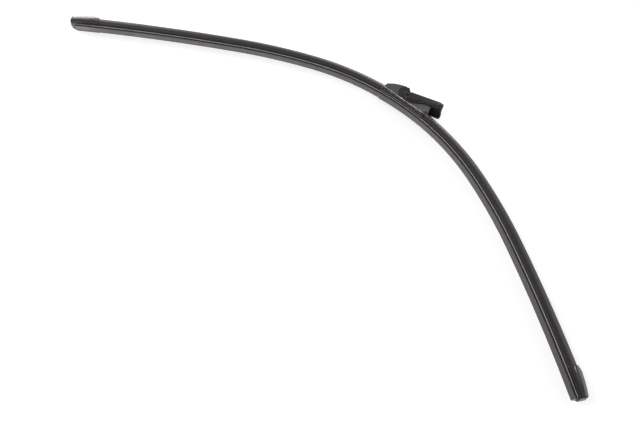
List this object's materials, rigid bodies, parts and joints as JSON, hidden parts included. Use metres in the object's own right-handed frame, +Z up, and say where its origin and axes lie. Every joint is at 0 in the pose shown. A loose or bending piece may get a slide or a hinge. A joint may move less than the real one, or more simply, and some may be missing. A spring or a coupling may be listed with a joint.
{
  "type": "wiper blade",
  "caption": "Bowed flat wiper blade with rubber lip, clip-on spoilers, end caps and a pivoting channel adapter that takes the wiper arm.",
  "frame": {"origin": "middle of the arm adapter's pivot axis", "axes": "+X along the blade towards the arm's side, +Y away from the windscreen, +Z up across the blade, which lies on its side as in the picture"},
  "size_m": [0.6248, 0.1879, 0.0166],
  "materials": {
    "rubber": "matt graphite-coated extrusion",
    "spring_steel": "rolled strip",
    "spoiler_plastic": "satin extrusion",
    "cap_plastic": "smooth moulded",
    "carrier_plastic": "fine grain moulded",
    "nose_plastic": "fine grain moulded",
    "adapter_plastic": "fine grain moulded",
    "pin_steel": "black oxide"
  },
  "bodies": {
    "blade": {"wiper_rubber": "rubber", "rail_near": "spring_steel", "rail_far": "spring_steel", "spoiler_left": "spoiler_plastic", "spoiler_right": "spoiler_plastic", "end_cap_left": "cap_plastic", "end_cap_right": "cap_plastic", "connector_carrier": "carrier_plastic", "nose_cover": "nose_plastic", "pivot_pin": "pin_steel"},
    "adapter": {"arm_adapter": "adapter_plastic"}
  },
  "joints": [
    {"name": "adapter_pivot", "type": "hinge", "parent": "blade", "child": "adapter", "pos_m": [0, 0, 0], "axis": [0, 0, 1], "range_deg": [-15, 15]}
  ]
}
